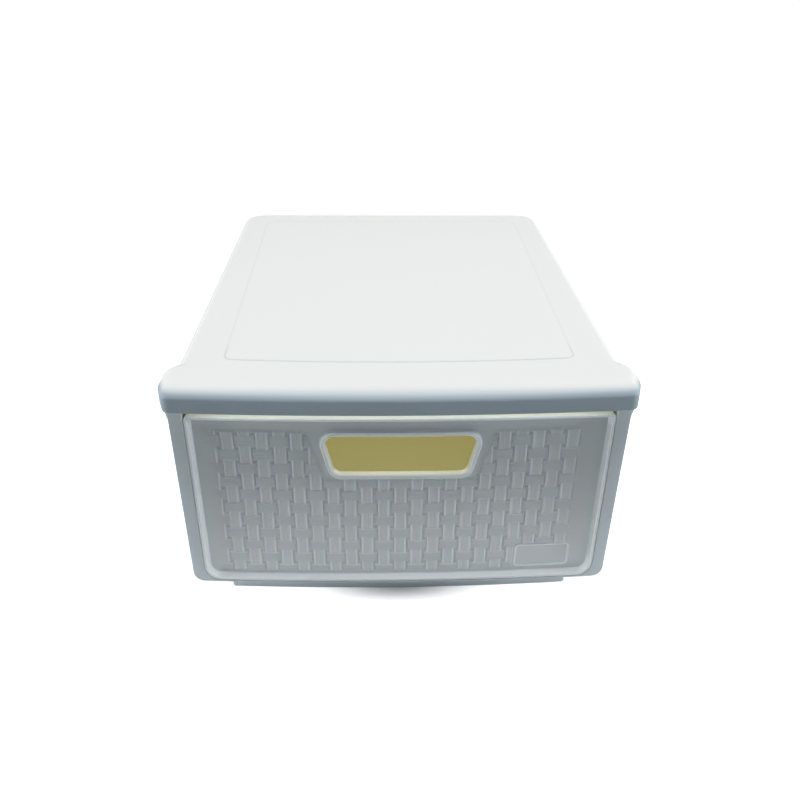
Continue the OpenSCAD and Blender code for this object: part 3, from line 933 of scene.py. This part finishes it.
# %% [markdown]
# ## Finishes
#
# All three mouldings are white polypropylene. A small class lets the shader's
# numbers be written as plain expressions, and one method makes any other node.

# %% Shader helpers
class Wire:
    """A shader socket that can be used like a number."""

    def __init__(self, graph, socket):
        self.graph = graph
        self.socket = socket

    def __add__(self, other):
        return self.graph.math("ADD", self, other)

    def __radd__(self, other):
        return self.graph.math("ADD", other, self)

    def __sub__(self, other):
        return self.graph.math("SUBTRACT", self, other)

    def __rsub__(self, other):
        return self.graph.math("SUBTRACT", other, self)

    def __mul__(self, other):
        return self.graph.math("MULTIPLY", self, other)

    def __rmul__(self, other):
        return self.graph.math("MULTIPLY", other, self)


class Graph:
    """A node tree whose nodes are made by one method."""

    def __init__(self, tree):
        self.tree = tree

    def put(self, socket, value):
        """Sets a socket to a number or colour, or links it."""
        if isinstance(value, Wire):
            self.tree.links.new(value.socket, socket)
        else:
            socket.default_value = value

    def node(self, kind, settings=None, inputs=None, out=0):
        """Makes a node, its settings first, and returns one of its outputs."""
        node = self.tree.nodes.new(kind)
        for key, value in (settings or {}).items():
            setattr(node, key, value)
        for key, value in (inputs or {}).items():
            self.put(node.inputs[key], value)
        return Wire(self, node.outputs[out])

    def math(self, operation, *values):
        """One operation on numbers."""
        return self.node("ShaderNodeMath", {"operation": operation}, dict(enumerate(values)))

    def mix(self, factor, a, b):
        """A colour between a and b, each a plain colour or a wire."""
        a, b = ((*colour, 1) if isinstance(colour, tuple) else colour for colour in (a, b))
        return self.node("ShaderNodeMix", {"data_type": "RGBA"}, {0: factor, 6: a, 7: b}, out=2)

    def ramp(self, value, low, high, to_low=0.0, to_high=1.0):
        """A smooth step from to_low, at low and below, to to_high, at high and above."""
        return self.node(
            "ShaderNodeMapRange", {"interpolation_type": "SMOOTHSTEP"},
            {"Value": value, "From Min": low, "From Max": high, "To Min": to_low, "To Max": to_high},
        )

    def place(self):
        """The object's own coordinates, in metres."""
        return self.node("ShaderNodeTexCoord", out="Object")

    def noise(self, scale):
        """Soft noise, scale times a metre."""
        inputs = {"Vector": self.place(), "Scale": scale, "Detail": 2.0}
        return self.node("ShaderNodeTexNoise", None, inputs)

    def stored(self, name):
        """A number that is stored on the points."""
        return self.node("ShaderNodeAttribute", {"attribute_name": name}, out=2)

    def seen_directly(self):
        """1 for what the camera sees, straight or in a shine, and 0 for light."""
        camera, glossy, through = (
            self.node("ShaderNodeLightPath", out=f"Is {kind} Ray")
            for kind in ("Camera", "Glossy", "Transmission")
        )
        return self.math("MAXIMUM", camera, self.math("MAXIMUM", glossy, through))


class Finish(Graph):
    """A material and its main shader."""

    def __init__(self, name):
        self.material = bpy.data.materials.new(name)
        self.material.use_nodes = True
        super().__init__(self.material.node_tree)
        self.shader = self.tree.nodes["Principled BSDF"]

    def set(self, **inputs):
        """Sets sockets of the main shader, by name with _ for a space."""
        for key, value in inputs.items():
            self.put(self.shader.inputs[key.replace("_", " ")], value)


# %% [markdown]
# Moulded plastic is never one flat white. Its colour and its shine drift a little, and the mould's
# spark-eroded skin leaves a fine grain. Painted light and shade go into the colour too: by height on the
# tub and the cover, whose lower parts are painted greyer as shade, and by stored numbers on the drawer.

# %% White plastic
drift_scale = 14.0
rib_pitch, rib_depth = 1.25, 0.045   # the fine ribs along each strap


def moulded(name, greyer_colour, solid, painted_light_level, grain_mm, grain_depth, roughness, ribs=None):
    """White plastic between a greyer and a whiter colour, the second and third arguments, with a slow
    drift and a fine grain. The fourth argument, a function of the finish, gives the number that picks
    between the two colours, and that number carries painted light and shade. ribs(finish) adds a height
    to the grain's."""
    finish = Finish(name)
    drift = finish.noise(drift_scale) - 0.5
    grain = finish.noise(1000.0 / grain_mm)
    colour = finish.mix(painted_light_level(finish) + 0.05 * drift, greyer_colour, solid)
    rough = roughness + 0.06 * drift + 0.05 * (grain - 0.5)
    height = grain * (grain_depth * MM)
    if ribs:
        height = height + ribs(finish)
    bump = finish.node("ShaderNodeBump", None, {"Height": height, "Distance": 1.0, "Strength": 1.0})
    finish.set(Base_Color=colour, Roughness=rough, Normal=bump, IOR=1.49)
    print("finish:", name, len(finish.tree.nodes), "nodes")
    return finish


def along(finish, axis):
    """One of the object's own coordinates."""
    return finish.node("ShaderNodeSeparateXYZ", None, {0: finish.place()}, out=axis)


def by_height(low, high):
    """0 below one height and 1 above the other, in mm."""
    return lambda finish: finish.ramp(along(finish, "Z"), low * MM, high * MM)


def cover_painted_shade(finish):
    """Painted shade on the cover by height: grey-blue on the lip face and skirt, white on top, and a
    little greyer on the panel's step.
    """
    return by_height(131.3, 134.4)(finish) - finish.stored("painted_step_shade")


def straw(finish):
    """Fine ribs that run along each strap of the weave: sin(2 pi x / pitch) on
    the upright straps and sin(2 pi z / pitch) on the level ones."""
    strap = finish.stored("strap")
    turns = 2 * np.pi / (rib_pitch * MM)
    wave_x, wave_z = (finish.math("SINE", along(finish, axis) * turns) for axis in "XZ")
    on_upright = finish.math("MAXIMUM", strap, 0.0)
    on_level = finish.math("MAXIMUM", 0.0 - strap, 0.0)
    return (on_upright * wave_x + on_level * wave_z) * (rib_depth * MM)


# Painted shade: the tub and the frame are painted blue-grey, greyer towards the bottom.
casing_white = moulded(
    "casing_white", (0.66, 0.72, 0.75), (0.72, 0.78, 0.80), by_height(0, 100), 0.5, 0.004, 0.42
)
# Painted shade: the cover is painted grey-blue below 131.3 mm, on its lip face and skirt, and white on
# top.
cover_white = moulded(
    "cover_white", (0.42, 0.50, 0.56), (0.94, 0.945, 0.92), cover_painted_shade, 0.45, 0.008, 0.55
)
# The drawer's colour follows the stored number, with its painted light and shade.
drawer_frosted = moulded(
    "drawer_frosted", (0.55, 0.585, 0.59), (0.93, 0.95, 0.95),
    lambda finish: finish.stored("tone_and_painted_light"), 0.6, 0.003, 0.4, straw,
)

# %% [markdown]
# ## Bodies
#
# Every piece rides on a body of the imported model, stands for one of its solids
# and takes that solid's finish. So the drawer's pieces slide out together.

# %% Every piece gets its body, the solid that it stands for, and its finish
kit = [
    ("casing", "top_cover", "cover_white", cover_white, [cover_shell, cover_ribs]),
    ("casing", "casing_body", "casing_white", casing_white,
     [tub_shell, front_frame, base_ring, tub_stops]),
    ("drawer", "drawer", "drawer_frosted", drawer_frosted,
     [tray_shell, tray_runners, rim_ring, collar_ring, label_bead, woven_front]),
]
for body, node, slot, finish, pieces in kit:
    for piece in pieces:
        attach(piece, body)
        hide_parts(node)
        piece.data.materials.clear()
        piece.data.materials.append(finish.material)
    print(node, "on", body + ":", len(pieces), "pieces")

# %% [markdown]
# ## Floor, light and camera
#
# The floor is white wherever it is seen, apart from a painted shadow: a grey ellipse at the box's foot,
# over the soft shadow that the lamps cast. For the light that it throws back, it is painted darker round
# that foot, as painted shade, and darker far away, so that the front of the box isn't lit from below.

# %% Floor
floor_half = 6.0
foot_y = 0.149      # how far in front of the middle the box's foot is
# Painted shadow: the grey of the seen floor at the box's foot.
painted_shadow_grey = (0.48, 0.48, 0.485)
black, white = (0, 0, 0), (1, 1, 1)

floor_mesh = bpy.data.meshes.new("floor")
floor_corners = [(x * floor_half, y * floor_half, 0) for x, y in ((-1, -1), (1, -1), (1, 1), (-1, 1))]
floor_mesh.from_pydata(floor_corners, [], [(0, 1, 2, 3)])
floor = bpy.data.objects.new("floor", floor_mesh)
bpy.context.scene.collection.objects.link(floor)

ground_white = Finish("floor_white")
ground_place = ground_white.place()


def length_of(vector):
    """The length of a vector."""
    return ground_white.node("ShaderNodeVectorMath", {"operation": "LENGTH"}, {0: vector}, out=1)


def from_foot(half_x, half_y, full):
    """0 under the middle of the box's front foot, growing to 1 outside an
    ellipse round it: the length of the place divided by the two half axes."""
    scaled = ground_white.node(
        "ShaderNodeMapping", None,
        {"Vector": ground_place, "Location": (0.0, foot_y / half_y, 0.0),
         "Scale": (1 / half_x, 1 / half_y, 0.0)},
    )
    return ground_white.ramp(length_of(scaled), 0.0, full)


seen = ground_white.seen_directly()
far = length_of(ground_place)
# Painted shadow: the seen floor is painted grey and glows less in an ellipse at the box's foot.
off_painted_shadow = from_foot(0.075, 0.022, 1.0)
# Painted shade in the light the floor throws back: darker round the box's foot, and darker far away.
thrown = ground_white.ramp(far, 0.17, 0.34, 1.0, 0.15) * from_foot(0.16, 0.03, 0.8)
glow = seen * off_painted_shadow * ground_white.ramp(far, 0.3, 1.2, 0.8, 1.0)
for_light = ground_white.mix(thrown, black, white)
for_sight = ground_white.mix(off_painted_shadow, painted_shadow_grey, white)
ground_white.set(
    Base_Color=ground_white.mix(seen, for_light, for_sight), Roughness=1.0, Specular_IOR_Level=0.0,
    Emission_Color=ground_white.mix(glow, black, white), Emission_Strength=1.0,
)
floor.data.materials.append(ground_white.material)
print("floor, m wide:", 2 * floor_half)

# %% [markdown]
# The room gives a weak pale blue light, and is plain white where it is seen.

# %% World
room_blue, room_strength = (0.7, 0.88, 1.0), 0.07
world = bpy.data.worlds.new("studio")
bpy.context.scene.world = world
world.use_nodes = True
world.node_tree.nodes.clear()
room = Graph(world.node_tree)
dim = room.node("ShaderNodeBackground", None, {"Color": (*room_blue, 1), "Strength": room_strength})
bright = room.node("ShaderNodeBackground", None, {"Color": (*white, 1)})
either = room.node("ShaderNodeMixShader", None, {0: room.seen_directly(), 1: dim, 2: bright})
room.put(room.tree.nodes.new("ShaderNodeOutputWorld").inputs["Surface"], either)
print("room:", room_strength)

# %% [markdown]
# One large lamp stands over the box, a weaker one at each side, and a faint
# one in front. Thin plastic also passes light on to its inside, which plain
# opaque plastic can't do, so three faint flat lamps stand in for that light:
# under the cover's plate, inside the lip, and over the foot of the hand hole.


# %% Lamps
def softbox(name, place, target, width, depth, watts, colour, in_view=True):
    """A flat lamp that looks at a point, and may be hidden from the camera."""
    lamp = bpy.data.lights.new(name, "AREA")
    lamp.shape = "RECTANGLE"
    lamp.size, lamp.size_y = width, depth
    lamp.energy = watts
    lamp.color = colour
    thing = bpy.data.objects.new(name, lamp)
    thing.location = place
    thing.rotation_euler = (Vector(target) - Vector(place)).to_track_quat("-Z", "Y").to_euler()
    thing.visible_camera = in_view
    bpy.context.scene.collection.objects.link(thing)


softbox("overhead", (0.05, -0.16, 1.8), (0, 0, 0.1), 0.8, 0.8, 22.5, white)
for side, watts in ((-1, 6.8), (1, 7.8)):
    softbox("side", (side * 1.3, -0.19, 0.2), (0, -0.15, 0.08), 0.36, 0.3, watts, (0.93, 0.98, 1.0))
softbox("fill", (0.1, -1.2, 0.4), (0, -0.15, 0.06), 0.8, 0.8, 0.7, (0.75, 0.9, 1.0))
for name, y, z, *size_and_light in (
    ("through_cover", -0.003, 0.1317, 0.222, 0.276, 0.08, (1.0, 0.8, 0.2)),
    ("through_front", -0.135, 0.112, 0.09, 0.018, 0.008, (1.0, 1.0, 0.85)),
    ("through_lip", -0.1515, 0.1265, 0.222, 0.003, 0.0085, (0.9, 1.0, 1.0)),
):
    softbox(name, (0, y, z), (0, y, 0), *size_and_light, in_view=False)
print("lamps, W in all:", round(sum(lamp.energy for lamp in bpy.data.lights), 2))

# %% [markdown]
# The camera stands in front of the box and above it, a little to the left: a
# place, three angles and a focal length in pixels.

# %% Camera
camera_place = (-0.0131495, -0.5148995, 0.330523)
yaw, pitch, roll = 0.03346187, 0.50893228, 0.01015503
focal_px, image_px, film_mm = 812.8376, 800, 36
forward = Vector((np.sin(yaw) * np.cos(pitch), np.cos(yaw) * np.cos(pitch), -np.sin(pitch)))
flat_right = Vector((np.cos(yaw), -np.sin(yaw), 0))
flat_up = flat_right.cross(forward)
camera_right = np.cos(roll) * flat_right + np.sin(roll) * flat_up
camera_up = np.cos(roll) * flat_up - np.sin(roll) * flat_right
lens = bpy.data.cameras.new("camera")
lens.sensor_width = film_mm
lens.lens = film_mm * focal_px / image_px
camera = bpy.data.objects.new("camera", lens)
facing = Matrix((camera_right, camera_up, -forward)).transposed().to_4x4()
camera.matrix_world = Matrix.Translation(camera_place) @ facing
bpy.context.scene.collection.objects.link(camera)
bpy.context.scene.camera = camera
bpy.context.scene.view_settings.view_transform = "Standard"
print("lens, mm:", round(lens.lens, 2))
